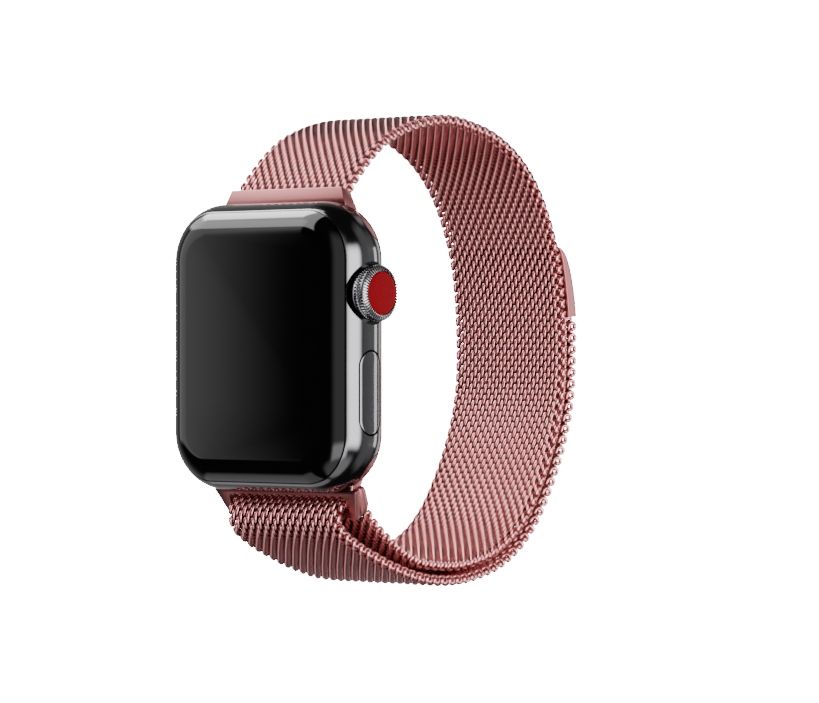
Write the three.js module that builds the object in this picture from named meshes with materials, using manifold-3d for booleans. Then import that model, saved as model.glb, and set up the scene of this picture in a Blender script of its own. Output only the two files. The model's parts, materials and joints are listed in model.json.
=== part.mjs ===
// A rectangular smartwatch on a woven metal loop strap, closed into a loop as if worn.
// Millimetres. The display faces -Y, twelve o'clock is +Z and the crown is on the +X side.
// Pieces are placed from the middle of the case (y = 0 half way between its front and back), and the
// whole group is then moved so that the origin is the middle of the space for the wrist.

import * as THREE from 'three';
import { mergeVertices } from 'three/addons/utils/BufferGeometryUtils.js';
import Module from 'manifold-3d';

const wasm = await Module();
wasm.setup();

// ---------------------------------------------------------------- driving dimensions

const WRIST_CENTRE_Y = 28; // from the middle of the case to the middle of the wrist
const GAP = 0.3; // between pieces that touch on the real object
const FAR = 40; // longer than any piece that is cut

const CASE = {
  halfX: 16.65,
  halfZ: 19.65,
  corner: 8.0,
  front: -5.7,
  back: 4.9,
  roundDepth: 4.8, // how far the rounded side reaches from each face
  roundInset: 4.6, // how far the rounded side pulls in at each face
  seam: -4.15, // where the case stops and the glass starts
};
const FRONT_CAVITY = { halfX: 14.4, halfZ: 16.9, corner: 6.2, depth: -0.3 };
const BACK_CAVITY = { halfX: 14.0, halfZ: 13.6, corner: 5.0, depth: 3.9 };
const GASKET = { halfX: 14.9, halfZ: 17.7, corner: 7.0, width: 1.0, from: -4.1, to: -3.65 };
const DISPLAY = { halfX: 13.3, halfZ: 15.9, corner: 5.2, from: -4.35, to: -3.2 };
const BACK_COVER = { halfX: 12.0, halfZ: 10.5, corner: 4.0, from: 4.0, to: 4.85 };

const CRYSTAL = { radius: 9.4, inside: 3.9, edge: 4.9, top: 5.7, flatRadius: 2.5 };
const SENSOR = { ring: 5.4, lensRadius: 1.5, count: 4 };

const CROWN = { z: 7.2, radius: 3.83, teeth: 54, toothDepth: 0.22, collarRadius: 3.5, recessRadius: 4.25 };
const CROWN_X = { recessFloor: 15.2, knobInner: 15.65, collarOuter: 16.2, knobOuter: 18.3, shaftEnd: 10.1 };
const SHAFT_RADIUS = 0.7;

const BUTTON = { y: -0.35, z: -6.15, length: 11.2, width: 4.2, gap: 0.22, pocketFloor: 14.9 };
const STEM_RADIUS = 0.6;

const GROOVE = { y: 2.6, z: 16.6, radius: 2.5, insertRadius: 2.25 };
const LATCH = { radius: 0.7, tip: 13.95, tail: 15.9, channelFloor: 13.8 };
const RELEASE = { z: 12.3, length: 6.0, width: 1.5, gap: 0.25 };

const STRAP = { halfWidth: 10, thickness: 1.75, layerPitch: 2.1 };
const CLASP = { thickness: 1.6, tipThickness: 0.7, magnetHalfWidth: 7.5 };
const LUG_FRAME = {
  halfTop: 12.85,
  halfEnd: 11.5,
  length: 4.9,
  thickness: 2.4,
  slotHalf: 10.5,
  barTop: 1.15, // where the slot starts
  crossBar: 4.15, // the middle of the cross bar
  crossBarRadius: 0.65,
};

// ---------------------------------------------------------------- solids

// The closed solid of a three.js geometry, turned the right way out.
function solid(geometry) {
  const bare = geometry.index ? geometry.toNonIndexed() : geometry.clone();
  bare.deleteAttribute('normal');
  bare.deleteAttribute('uv');
  const merged = mergeVertices(bare, 1e-4);
  const corners = merged.index.array;
  const outward = [];
  const inward = [];
  for (let i = 0; i < corners.length; i += 3) {
    const [a, b, c] = corners.slice(i, i + 3);
    if (a === b || b === c || c === a) continue;
    outward.push(a, b, c);
    inward.push(a, c, b);
  }
  const made = manifoldOf(merged, outward);
  return made.volume() > 0 ? made : manifoldOf(merged, inward);
}

function manifoldOf(merged, triangles) {
  const vertProperties = merged.attributes.position.array;
  const triVerts = new Uint32Array(triangles);
  return new wasm.Manifold(new wasm.Mesh({ numProp: 3, vertProperties, triVerts }));
}

function geometryOf(manifold) {
  const mesh = manifold.getMesh();
  const geometry = new THREE.BufferGeometry();
  geometry.setAttribute('position', new THREE.BufferAttribute(mesh.vertProperties, 3));
  geometry.setIndex(new THREE.BufferAttribute(mesh.triVerts, 1));
  const flat = geometry.toNonIndexed();
  flat.computeVertexNormals();
  return flat;
}

function joined(...solids) {
  return solids.reduce((whole, next) => whole.add(next));
}

function cut(body, ...tools) {
  return tools.reduce((rest, tool) => rest.subtract(tool), body);
}

// A shape drawn in (x, z) becomes a slab between two depths.
function alongY(shape, from, to, options = {}) {
  const settings = { depth: to - from, bevelEnabled: false, curveSegments: 4, ...options };
  const geometry = new THREE.ExtrudeGeometry(shape, settings);
  geometry.rotateX(Math.PI / 2);
  geometry.translate(0, to, 0);
  return solid(geometry);
}

// A shape drawn in (y, z) becomes a bar between two places on X.
function alongX(shape, from, to, options = {}) {
  const settings = { depth: to - from, bevelEnabled: false, curveSegments: 4, ...options };
  const geometry = new THREE.ExtrudeGeometry(shape, settings);
  const toYZ = new THREE.Matrix4().makeBasis(
    new THREE.Vector3(0, 1, 0),
    new THREE.Vector3(0, 0, 1),
    new THREE.Vector3(1, 0, 0),
  );
  geometry.applyMatrix4(toYZ);
  geometry.translate(from, 0, 0);
  return solid(geometry);
}

const TURN_ONTO = {
  x: (geometry) => geometry.rotateZ(-Math.PI / 2),
  y: (geometry) => geometry,
  z: (geometry) => geometry.rotateX(Math.PI / 2),
};

// A profile of [distance along the axis, radius] pairs, turned about the axis.
function turned(axis, profile, centre = [0, 0, 0], segments = 24) {
  const points = profile.map(([along, radius]) => new THREE.Vector2(radius, along));
  const geometry = TURN_ONTO[axis](new THREE.LatheGeometry(points, segments));
  geometry.translate(...centre);
  return solid(geometry);
}

function disc(axis, from, to, radius, centre, segments) {
  return turned(axis, [[from, 0], [from, radius], [to, radius], [to, 0]], centre, segments);
}

function ring(axis, from, to, inner, outer, centre, segments) {
  const profile = [[from, inner], [from, outer], [to, outer], [to, inner], [from, inner]];
  return turned(axis, profile, centre, segments);
}

// Two places on one side of the case, lowest first; side is 1 above the middle and -1 below it.
function ordered(side, near, far) {
  return side > 0 ? [near, far] : [-far, -near];
}

function block(x, y, z) {
  const geometry = new THREE.BoxGeometry(x[1] - x[0], y[1] - y[0], z[1] - z[0]);
  geometry.translate((x[0] + x[1]) / 2, (y[0] + y[1]) / 2, (z[0] + z[1]) / 2);
  return solid(geometry);
}

// ---------------------------------------------------------------- outlines

function roundedRect(halfA, halfB, corner) {
  const shape = new THREE.Shape();
  const a = halfA - corner;
  const b = halfB - corner;
  shape.absarc(a, b, corner, 0, Math.PI / 2);
  shape.absarc(-a, b, corner, Math.PI / 2, Math.PI);
  shape.absarc(-a, -b, corner, Math.PI, Math.PI * 1.5);
  shape.absarc(a, -b, corner, Math.PI * 1.5, Math.PI * 2);
  return shape;
}

// A slot with round ends, centred on (a, b); long along the second direction.
function stadium(a, b, width, length) {
  const radius = width / 2;
  const reach = length / 2 - radius;
  const shape = new THREE.Shape();
  shape.absarc(a, b + reach, radius, 0, Math.PI);
  shape.absarc(a, b - reach, radius, Math.PI, Math.PI * 2);
  return shape;
}

function wideStadium(a, b, length, width) {
  const radius = width / 2;
  const reach = length / 2 - radius;
  const shape = new THREE.Shape();
  shape.absarc(a + reach, b, radius, -Math.PI / 2, Math.PI / 2);
  shape.absarc(a - reach, b, radius, Math.PI / 2, Math.PI * 1.5);
  return shape;
}

function polygon(points) {
  return new THREE.Shape(points.map(([a, b]) => new THREE.Vector2(a, b)));
}

// ---------------------------------------------------------------- case and what closes it

// The outer form that the case, the glass and the ends of the lug inserts share.
function outerForm() {
  const outline = roundedRect(CASE.halfX, CASE.halfZ, CASE.corner);
  const options = {
    bevelEnabled: true,
    bevelThickness: CASE.roundDepth,
    bevelSize: CASE.roundInset,
    bevelOffset: -CASE.roundInset,
    bevelSegments: 9,
    curveSegments: 6,
  };
  const from = CASE.front + CASE.roundDepth;
  const to = CASE.back - CASE.roundDepth;
  return alongY(outline, from, to, options);
}

function slab(from, to) {
  return block([-FAR, FAR], [from, to], [-FAR, FAR]);
}

function cavities() {
  const front = roundedRect(FRONT_CAVITY.halfX, FRONT_CAVITY.halfZ, FRONT_CAVITY.corner);
  const back = roundedRect(BACK_CAVITY.halfX, BACK_CAVITY.halfZ, BACK_CAVITY.corner);
  const rebate = roundedRect(GASKET.halfX + GAP, GASKET.halfZ + GAP, GASKET.corner + GAP);
  const cover = BACK_COVER;
  const opening = roundedRect(cover.halfX + GAP, cover.halfZ + GAP, cover.corner + GAP);
  return [
    alongY(front, -FAR, FRONT_CAVITY.depth),
    alongY(back, FRONT_CAVITY.depth - 1, BACK_CAVITY.depth),
    alongY(rebate, -FAR, GASKET.to + GAP),
    alongY(opening, BACK_CAVITY.depth - 1, FAR),
  ];
}

// Each strap groove is round inside and opens at the edge between the case's side and its back.
function grooves() {
  return [1, -1].map((side) => {
    const mouth = [[0.95, 18.4], [0.5, 21], [9, 21], [9, 15.4], [5, 15.4], [2.6, 16.6]];
    const opening = polygon(mouth.map(([y, z]) => [y, z * side]));
    const bore = disc('x', -FAR, FAR, GROOVE.radius, [0, GROOVE.y, side * GROOVE.z], 36);
    return joined(bore, alongX(opening, -FAR, FAR));
  });
}

function releaseHoles() {
  const grown = 2 * RELEASE.gap;
  return [1, -1].map((side) => {
    const hole = wideStadium(0, side * RELEASE.z, RELEASE.length + grown, RELEASE.width + grown);
    return alongY(hole, BACK_CAVITY.depth - 1, FAR);
  });
}

// Each latch drops into a hole half way along its groove. A shallow channel runs from there to the crown
// side, where the strap leaves the case.
function latchHoles() {
  const halfWidth = LATCH.radius + 0.15;
  const depths = [GROOVE.y - halfWidth, GROOVE.y + halfWidth];
  return [1, -1].map((side) => {
    const reach = ordered(side, BACK_CAVITY.halfZ - 0.5, GROOVE.z);
    const hole = disc('z', ...reach, LATCH.radius + GAP, [0, GROOVE.y, 0], 16);
    return joined(hole, block([0, FAR], depths, ordered(side, LATCH.channelFloor, GROOVE.z)));
  });
}

function crownHoles() {
  const centre = [0, 0, CROWN.z];
  return [
    disc('x', CROWN_X.recessFloor, FAR, CROWN.recessRadius, centre, 48),
    disc('x', BACK_CAVITY.halfX - 1, FAR, 1.9, centre, 24),
  ];
}

function sideButtonHoles() {
  const grown = 2 * BUTTON.gap;
  const pocket = stadium(BUTTON.y, BUTTON.z, BUTTON.width + grown, BUTTON.length + grown);
  return [
    alongX(pocket, BUTTON.pocketFloor, FAR, { curveSegments: 8 }),
    disc('x', BACK_CAVITY.halfX - 1, FAR, STEM_RADIUS + 0.35, [0, BUTTON.y, BUTTON.z], 16),
  ];
}

function soundHoles() {
  const slots = [-3.5, 3.5].map((z) => {
    return alongX(stadium(0, z, 1.1, 4.6), -FAR, 1 - BACK_CAVITY.halfX);
  });
  return [...slots, disc('x', -FAR, 1 - BACK_CAVITY.halfX, 0.45, [0, 0, 9], 12)];
}

function caseShell() {
  const blank = outerForm().intersect(slab(CASE.seam, FAR));
  return cut(
    blank,
    ...cavities(),
    ...grooves(),
    ...releaseHoles(),
    ...latchHoles(),
    ...crownHoles(),
    ...sideButtonHoles(),
    ...soundHoles(),
  );
}

function coverGlass() {
  const pocket = roundedRect(DISPLAY.halfX + GAP, DISPLAY.halfZ + GAP, DISPLAY.corner + GAP);
  const front = outerForm().intersect(slab(-FAR, GASKET.from - GAP));
  return cut(front, alongY(pocket, DISPLAY.from - GAP, FAR));
}

function displayGasket() {
  const { halfX, halfZ, corner, width, from, to } = GASKET;
  const outer = alongY(roundedRect(halfX, halfZ, corner), from, to);
  const inner = roundedRect(halfX - width, halfZ - width - 0.2, corner - width);
  return cut(outer, alongY(inner, -FAR, FAR));
}

function backCover() {
  const { halfX, halfZ, corner, from, to } = BACK_COVER;
  const plate = alongY(roundedRect(halfX, halfZ, corner), from, to);
  return cut(plate, disc('y', -FAR, FAR, CRYSTAL.radius + GAP, [0, 0, 0], 48));
}

function sensorPlaces() {
  return Array.from({ length: SENSOR.count }, (_, i) => {
    const angle = Math.PI / 4 + (i * Math.PI) / 2;
    return [SENSOR.ring * Math.cos(angle), 0, SENSOR.ring * Math.sin(angle)];
  });
}

function backCrystal() {
  const { radius, inside, edge, top, flatRadius } = CRYSTAL;
  const dome = [[inside, 0], [inside, radius], [edge, radius]];
  const steps = 5;
  for (let i = 1; i <= steps; i += 1) {
    const angle = (i / steps) * (Math.PI / 2);
    const along = edge + (top - edge) * Math.sin(angle);
    dome.push([along, flatRadius + (radius - flatRadius) * Math.cos(angle)]);
  }
  dome.push([top, 0]);
  const holes = sensorPlaces().map((place) => {
    return disc('y', -FAR, FAR, SENSOR.lensRadius + 0.25, place, 16);
  });
  return cut(turned('y', dome, [0, 0, 0], 48), ...holes);
}

// ---------------------------------------------------------------- inside the case

const SUPPORT_FRAME_Y = [-2.6, -2.35];
const BATTERY = { x: [-4.4, 7.6], y: [-2.0, 1.9], z: [-5.6, 11.0] };
const SYSTEM_MODULE = { x: [-12.4, -5.0], y: [-2.0, 1.6], z: [0.4, 10.0] };
const SPEAKER = { x: [-13.6, -8.4], y: [-2.0, 2.0], z: [-6.3, -0.7] };
const HAPTIC = { x: [-10.2, 8.4], y: [-2.0, 1.25], z: [-13.0, -6.9], wall: 0.5, margin: 0.35 };

function supportFrame() {
  const inset = GAP;
  const { halfX, halfZ, corner } = FRONT_CAVITY;
  const plate = roundedRect(halfX - inset, halfZ - inset, corner - inset);
  const [from, to] = SUPPORT_FRAME_Y;
  const window = roundedRect(4, 5, 1);
  return cut(alongY(plate, from, to), alongY(window, -FAR, FAR));
}

function hapticHousing() {
  const { x, y, z, wall } = HAPTIC;
  const inner = (span) => [span[0] + wall, span[1] - wall];
  return cut(block(x, y, z), block([-FAR, FAR], inner(y), inner(z)));
}

function hapticMass() {
  const { x, y, z, wall, margin } = HAPTIC;
  const inner = (span, by) => [span[0] + by, span[1] - by];
  return block(inner(x, 1.4), inner(y, wall + margin), inner(z, wall + margin));
}

function moduleScrew(sideX, sideZ) {
  const profile = [[-1.9, 0], [-1.9, 0.8], [-1.4, 0.8], [-1.4, 0.45], [1.5, 0.45], [1.5, 0]];
  return turned('y', profile, [sideX * 11.6, 0, sideZ * 11.4], 12);
}

// ---------------------------------------------------------------- crown

function crownKnob() {
  const outline = new THREE.Shape();
  const points = [];
  for (let i = 0; i < CROWN.teeth * 2; i += 1) {
    const radius = i % 2 ? CROWN.radius : CROWN.radius - CROWN.toothDepth;
    const angle = (i * Math.PI) / CROWN.teeth;
    points.push(new THREE.Vector2(radius * Math.cos(angle), CROWN.z + radius * Math.sin(angle)));
  }
  outline.setFromPoints(points);
  const centre = [0, 0, CROWN.z];
  const collar = disc('x', CROWN_X.knobInner, CROWN_X.collarOuter, CROWN.collarRadius, centre, 48);
  return cut(
    joined(alongX(outline, CROWN_X.collarOuter, CROWN_X.knobOuter), collar),
    disc('x', CROWN_X.knobOuter - 0.4, FAR, 3.1, centre, 36),
    disc('x', -FAR, CROWN_X.knobOuter - 0.75, SHAFT_RADIUS + GAP, centre, 16),
  );
}

function crownShaft() {
  const end = CROWN_X.shaftEnd;
  const clip = [11.95, 12.75];
  const groove = 0.42;
  const profile = [
    [end, 0],
    [end, SHAFT_RADIUS],
    [clip[0], SHAFT_RADIUS],
    [clip[0], groove],
    [clip[1], groove],
    [clip[1], SHAFT_RADIUS],
    [CROWN_X.knobOuter - 1.05, SHAFT_RADIUS],
    [CROWN_X.knobOuter - 1.05, 0],
  ];
  return turned('x', profile, [0, 0, CROWN.z], 16);
}

function crownBushing() {
  const profile = [[12.9, 1.0], [12.9, 2.2], [13.6, 2.2], [13.6, 1.6], [14.5, 1.6], [14.5, 1.0]];
  return turned('x', [...profile, profile[0]], [0, 0, CROWN.z], 24);
}

// ---------------------------------------------------------------- side button

function sideButton() {
  const cap = stadium(BUTTON.y, BUTTON.z, BUTTON.width, BUTTON.length);
  const head = alongX(cap, BUTTON.pocketFloor + 0.4, FAR, { curveSegments: 8 });
  const stem = disc('x', 12.1, BUTTON.pocketFloor + 0.6, STEM_RADIUS, [0, BUTTON.y, BUTTON.z], 12);
  return joined(head.intersect(outerForm()), stem);
}

function sideButtonBracket() {
  const plate = block([12.5, 13.0], [-1.9, 1.6], [-11, -1.3]);
  return cut(plate, disc('x', -FAR, FAR, STEM_RADIUS + GAP, [0, BUTTON.y, BUTTON.z], 12));
}

// ---------------------------------------------------------------- strap release

function releaseButton(side) {
  const cap = wideStadium(0, side * RELEASE.z, RELEASE.length, RELEASE.width);
  const flange = wideStadium(0, side * RELEASE.z, RELEASE.length + 0.8, RELEASE.width + 0.7);
  return joined(alongY(cap, 3.3, 4.75), alongY(flange, 2.95, 3.55));
}

function releaseSpring(side) {
  return block([-4, 4], [1.6, 1.85], ordered(side, RELEASE.z - 0.9, RELEASE.z + 0.9));
}

// The pin in a lug insert that drops into the case and holds the strap.
function latch(side) {
  return disc('z', ...ordered(side, LATCH.tip, LATCH.tail), LATCH.radius, [0, GROOVE.y, 0], 16);
}

function latchPocket(side) {
  return disc('z', ...ordered(side, 13, 17.2), LATCH.radius + GAP, [0, GROOVE.y, 0], 16);
}

// The bar that fills the groove; its ends follow the case's own outer form.
function lugInsert(side) {
  const bar = disc('x', -FAR, FAR, GROOVE.insertRadius, [0, GROOVE.y, side * GROOVE.z], 36);
  return bar.intersect(outerForm());
}

function upperLug() {
  const profile = polygon([
    [1.4, 17.2],
    [1.25, 18.65],
    [0.9, 19.55],
    [2.05, 21.5],
    [3.75, 20.44],
    [3.1, 19.3],
    [3.7, 18.0],
    [4.2, 16.6],
  ]);
  const taper = polygon([[-11, 0], [11, 0], [11, 19.5], [9.95, 21.6], [-9.95, 21.6], [-11, 19.5]]);
  const plate = alongX(profile, -11, 11).intersect(alongY(taper, -FAR, FAR));
  return cut(joined(lugInsert(1), plate), latchPocket(1));
}

// The lower lug's frame is drawn flat in (x, distance from the case) and leans back under the case.
const FRAME_DOWN = new THREE.Vector3(0, 0.457, -0.889).normalize();
const FRAME_BACK = new THREE.Vector3(1, 0, 0).cross(FRAME_DOWN);
const FRAME_TOP = new THREE.Vector3(0, 0.75, -19.4);

function lugFrame() {
  const { halfTop, halfEnd, length, thickness, slotHalf, barTop } = LUG_FRAME;
  const corner = 1.0;
  const outline = new THREE.Shape();
  outline.moveTo(-halfTop, 0.2);
  outline.lineTo(halfTop, 0.2);
  outline.lineTo(halfEnd + 0.1, length - corner);
  outline.quadraticCurveTo(halfEnd, length, slotHalf, length);
  outline.lineTo(slotHalf, barTop + corner);
  outline.quadraticCurveTo(slotHalf, barTop, slotHalf - corner, barTop);
  outline.lineTo(corner - slotHalf, barTop);
  outline.quadraticCurveTo(-slotHalf, barTop, -slotHalf, barTop + corner);
  outline.lineTo(-slotHalf, length);
  outline.quadraticCurveTo(-halfEnd, length, -halfEnd - 0.1, length - corner);
  outline.closePath();
  const bevel = 0.3;
  const geometry = new THREE.ExtrudeGeometry(outline, {
    depth: thickness - 2 * bevel,
    bevelThickness: bevel,
    bevelSize: bevel,
    bevelOffset: -bevel,
    bevelSegments: 2,
    curveSegments: 4,
  });
  geometry.translate(0, 0, bevel);
  geometry.applyMatrix4(
    new THREE.Matrix4().makeBasis(new THREE.Vector3(1, 0, 0), FRAME_DOWN, FRAME_BACK),
  );
  geometry.translate(FRAME_TOP.x, FRAME_TOP.y, FRAME_TOP.z);
  return solid(geometry);
}

// The round bar that the strap folds over.
function lugCrossBar() {
  const centre = FRAME_TOP.clone()
    .addScaledVector(FRAME_DOWN, LUG_FRAME.crossBar)
    .addScaledVector(FRAME_BACK, LUG_FRAME.thickness / 2);
  const reach = LUG_FRAME.slotHalf + 0.5;
  return disc('x', -reach, reach, LUG_FRAME.crossBarRadius, centre.toArray(), 20);
}

function lowerLug() {
  const neck = polygon([
    [1.4, -17.2],
    [1.25, -18.65],
    [1.05, -19.6],
    [1.35, -20.1],
    [3.2, -19.1],
    [3.8, -17.9],
    [4.2, -16.6],
  ]);
  const halfWidth = LUG_FRAME.halfTop - 0.6;
  const whole = joined(
    lugInsert(-1),
    alongX(neck, -halfWidth, halfWidth),
    lugFrame(),
    lugCrossBar(),
  );
  return cut(whole, latchPocket(-1));
}

// ---------------------------------------------------------------- strap

// The strap's middle line in (y, z), from the upper lug over the wrist and down to the lower lug.
const STRAP_LINE = [
  [3.1, 21.3],
  [5.6, 23.95],
  [9.1, 27.0],
  [13, 29.3],
  [18.8, 31.1],
  [25.3, 31.8],
  [31.6, 30.9],
  [36.4, 29.5],
  [41.6, 26.5],
  [46.1, 21.7],
  [49.5, 15],
  [51.1, 8.5],
  [51.75, 0],
  [51.2, -7.7],
  [48.7, -15],
  [44.6, -22],
  [41, -25.9],
  [37.2, -28.3],
  [33.2, -29.7],
  [27, -30.6],
  [20, -30.1],
  [16, -28.9],
  [11.7, -26.5],
  [8.85, -24.4],
  [7.1, -22.7],
  [5.6, -21.25],
];
// It goes through the slot, round the cross bar and back outside itself.
const FOLD_LINE = [
  [4.1, -20.6],
  [2.9, -20.9],
  [1.75, -21.65],
  [1.1, -22.8],
  [1.3, -24.2],
  [2.3, -25.4],
  [3.9, -26.4],
  [6.4, -27.7],
  [9.4, -28.95],
];
const TAIL_JOIN = [13, -30.35];
const OUTER_SHARES = { from: 20, to: 12 }; // the points of STRAP_LINE that the outer layer runs beside
const TAIL_SPLIT = 0.54; // where the tail's two lengths meet, as a share of the tail

const flatPoint = ([y, z]) => new THREE.Vector2(y, z);

// The point a distance outside the strap's line, where the outer layer lies on the inner one.
function outside(index, distance) {
  const [before, here, after] = [index - 1, index, index + 1].map((i) => flatPoint(STRAP_LINE[i]));
  const along = after.sub(before).normalize();
  return here.add(new THREE.Vector2(-along.y, along.x).multiplyScalar(distance));
}

function innerCurve() {
  return new THREE.SplineCurve([...STRAP_LINE, ...FOLD_LINE].map(flatPoint));
}

function tailCurve() {
  const points = [flatPoint(FOLD_LINE.at(-1)), flatPoint(TAIL_JOIN)];
  for (let i = OUTER_SHARES.from; i >= OUTER_SHARES.to; i -= 1) {
    points.push(outside(i, STRAP.layerPitch));
  }
  points.push(flatPoint([53.8, 4.1]));
  return new THREE.SplineCurve(points);
}

function claspCurve() {
  return new THREE.SplineCurve([[53.75, 4.4], [53.35, 8], [52.55, 11], [51.35, 14.1]].map(flatPoint));
}

// A ribbon of some thickness along part of a curve in (y, z), moved sideways by an offset.
function ribbon(curve, { from = 0, to = 1, steps, thickness, halfWidth, tip = thickness, offset = 0 }) {
  const left = [];
  const right = [];
  for (let i = 0; i <= steps; i += 1) {
    const share = from + ((to - from) * i) / steps;
    const point = curve.getPointAt(share);
    const along = curve.getTangentAt(share);
    const side = new THREE.Vector2(-along.y, along.x);
    const half = (thickness + (tip - thickness) * (i / steps) ** 2) / 2;
    left.push(point.clone().addScaledVector(side, offset + half));
    right.push(point.clone().addScaledVector(side, offset - half));
  }
  const outline = new THREE.Shape([...left, ...right.reverse()]);
  return alongX(outline, -halfWidth, halfWidth);
}

const strapSize = { thickness: STRAP.thickness, halfWidth: STRAP.halfWidth };

function strap() {
  return ribbon(innerCurve(), { steps: 84, ...strapSize });
}

function tailLower() {
  const curve = tailCurve();
  const lead = GAP / curve.getLength();
  return ribbon(curve, { from: lead, to: TAIL_SPLIT - lead / 2, steps: 24, ...strapSize });
}

function tailUpper() {
  const curve = tailCurve();
  const lead = GAP / curve.getLength();
  return ribbon(curve, { from: TAIL_SPLIT + lead / 2, steps: 20, ...strapSize });
}

const CLASP_POCKET = { from: 0.18, to: 0.72, steps: 6 };

function claspPlate() {
  const plate = ribbon(claspCurve(), {
    steps: 12,
    thickness: CLASP.thickness,
    tip: CLASP.tipThickness,
    halfWidth: STRAP.halfWidth,
  });
  const pocket = ribbon(claspCurve(), {
    ...CLASP_POCKET,
    thickness: 1.0,
    offset: 0.55,
    halfWidth: CLASP.magnetHalfWidth,
  });
  return cut(plate, pocket);
}

function claspMagnet() {
  return ribbon(claspCurve(), {
    from: CLASP_POCKET.from + 0.03,
    to: CLASP_POCKET.to - 0.03,
    steps: 4,
    thickness: 0.42,
    offset: 0.5,
    halfWidth: CLASP.magnetHalfWidth - GAP,
  });
}

// ---------------------------------------------------------------- materials and assembly

function finish(color, roughness, metalness = 0) {
  return new THREE.MeshStandardMaterial({ color, roughness, metalness });
}

const BLACK_STEEL = finish(0x1b1b1e, 0.14, 1);
const BLACK_GLASS = finish(0x050506, 0.05);
const ROSE_METAL = finish(0xd99a98, 0.3, 1);
const STEEL = finish(0xb4b4b8, 0.35, 1);
const RED = finish(0xb81818, 0.4);
const RUBBER = finish(0x151515, 0.8);
const CERAMIC = finish(0x1a1a1c, 0.25);
const PLASTIC = finish(0x2a2a2c, 0.6);
const COPPER = finish(0xb87333, 0.4, 1);
const FOIL = finish(0x3a3d42, 0.45, 0.4);

const watch = new THREE.Group();
watch.position.y = -WRIST_CENTRE_Y;

function add(name, manifold, material) {
  const mesh = new THREE.Mesh(geometryOf(manifold), material);
  mesh.name = name;
  watch.add(mesh);
}

const crownCentre = [0, 0, CROWN.z];
const buttonCentre = [0, BUTTON.y, BUTTON.z];

add('case_shell', caseShell(), BLACK_STEEL);
add('cover_glass', coverGlass(), BLACK_GLASS);
add('display_gasket', displayGasket(), RUBBER);
const displayOutline = roundedRect(DISPLAY.halfX, DISPLAY.halfZ, DISPLAY.corner);
add('display_panel', alongY(displayOutline, DISPLAY.from, DISPLAY.to), BLACK_GLASS);
add('back_cover', backCover(), CERAMIC);
add('back_crystal', backCrystal(), BLACK_GLASS);

add('support_frame', supportFrame(), STEEL);
add('battery', block(BATTERY.x, BATTERY.y, BATTERY.z), FOIL);
add('system_module', block(SYSTEM_MODULE.x, SYSTEM_MODULE.y, SYSTEM_MODULE.z), PLASTIC);
add('speaker_module', block(SPEAKER.x, SPEAKER.y, SPEAKER.z), PLASTIC);
add('microphone', block([-13.6, -12.8], [-0.9, 0.9], [8.2, 9.8]), STEEL);
add('haptic_housing', hapticHousing(), STEEL);
add('haptic_mass', hapticMass(), STEEL);
[[1, 1], [-1, 1], [-1, -1], [1, -1]].forEach(([sideX, sideZ], i) => {
  add(`module_screw_${i + 1}`, moduleScrew(sideX, sideZ), STEEL);
});

add('sensor_board', disc('y', 2.95, 3.2, 8.6, [0, 0, 0], 32), PLASTIC);
add('charging_coil', ring('y', 2.25, 2.65, 5.9, 8.6, [0, 0, 0], 32), COPPER);
add('charging_magnet', disc('y', 2.2, 2.65, 4.8, [0, 0, 0], 24), STEEL);
sensorPlaces().forEach((place, i) => {
  const emits = i % 2 === 0;
  const chip = block([place[0] - 0.8, place[0] + 0.8], [3.45, 3.7], [place[2] - 0.8, place[2] + 0.8]);
  add(`${emits ? 'sensor_led' : 'sensor_photodiode'}_${Math.floor(i / 2) + 1}`, chip, PLASTIC);
  add(`sensor_lens_${i + 1}`, disc('y', 4.0, 5.1, SENSOR.lensRadius, place, 16), BLACK_GLASS);
});

add('crown_knob', crownKnob(), BLACK_STEEL);
add('crown_cap', disc('x', CROWN_X.knobOuter - 0.2, 18.42, 2.9, crownCentre, 36), RED);
add('crown_shaft', crownShaft(), STEEL);
add('crown_bushing', crownBushing(), STEEL);
add('crown_seal', ring('x', 14.7, 15.1, 1.0, 1.6, crownCentre, 24), RUBBER);
add('crown_retaining_clip', ring('x', 12.2, 12.5, 0.75, 1.5, crownCentre, 16), STEEL);
add('crown_encoder_drum', ring('x', 10.4, 11.6, 1.0, 1.7, crownCentre, 24), STEEL);
add('crown_encoder_sensor', block([10.4, 11.6], [2.0, 2.6], [6.4, 8.0]), PLASTIC);
add('crown_thrust_plate', disc('x', 9.3, 9.8, 1.5, crownCentre, 24), STEEL);
add('crown_switch', block([8.0, 8.65], [-1.4, 1.4], [CROWN.z - 1.6, CROWN.z + 1.6]), PLASTIC);

add('side_button', sideButton(), BLACK_STEEL);
add('side_button_seal', ring('x', 13.3, 13.7, 0.9, 1.5, buttonCentre, 16), RUBBER);
add('side_button_bracket', sideButtonBracket(), STEEL);
add('side_button_switch', block([11.0, 11.6], [-1.6, 0.9], [-7.4, -4.9]), PLASTIC);

for (const [name, side] of [['upper', 1], ['lower', -1]]) {
  add(`${name}_release_button`, releaseButton(side), BLACK_STEEL);
  add(`${name}_release_spring`, releaseSpring(side), STEEL);
  add(`${name}_latch`, latch(side), STEEL);
}
add('upper_lug', upperLug(), ROSE_METAL);
add('lower_lug', lowerLug(), ROSE_METAL);

add('strap', strap(), ROSE_METAL);
add('strap_tail_lower', tailLower(), ROSE_METAL);
add('strap_tail_upper', tailUpper(), ROSE_METAL);
add('clasp_plate', claspPlate(), ROSE_METAL);
add('clasp_magnet', claspMagnet(), STEEL);

export default watch;
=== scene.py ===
"""Looks of the smartwatch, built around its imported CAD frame.

Everything is in metres in the frame's own axes: the display faces -Y, twelve o'clock is +Z, the crown
is on the +X side and the origin is the middle of the wrist opening. Shapes are drawn in millimetres from
the middle of the case, as the CAD source draws them, and become metres when a mesh is made.
"""
import json
import math

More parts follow.
